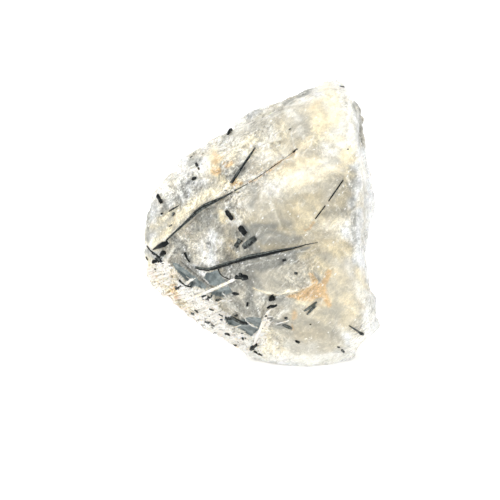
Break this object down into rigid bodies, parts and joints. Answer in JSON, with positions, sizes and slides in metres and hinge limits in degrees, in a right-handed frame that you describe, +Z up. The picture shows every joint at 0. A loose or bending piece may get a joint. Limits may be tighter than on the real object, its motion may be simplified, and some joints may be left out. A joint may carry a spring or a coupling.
{
  "type": "rough moonstone",
  "caption": "Rough lump of milky white and grey moonstone with black tourmaline needles and iron stain, standing on a small flat break.",
  "frame": {"origin": "under the middle of the stone's bounding box, on the surface that it stands on", "axes": "+Z up, the show face with the needles looks along -Y, +X to the right of someone who looks at the show face"},
  "size_m": [0.0502, 0.04, 0.0596],
  "materials": {
    "moonstone": "broken feldspar, milky and slightly translucent, satin with small glints",
    "tourmaline": "black tourmaline crystals grown in the stone, glassy, finely striped along their length"
  },
  "bodies": {
    "root": {"moonstone": "moonstone"}
  },
  "joints": []
}
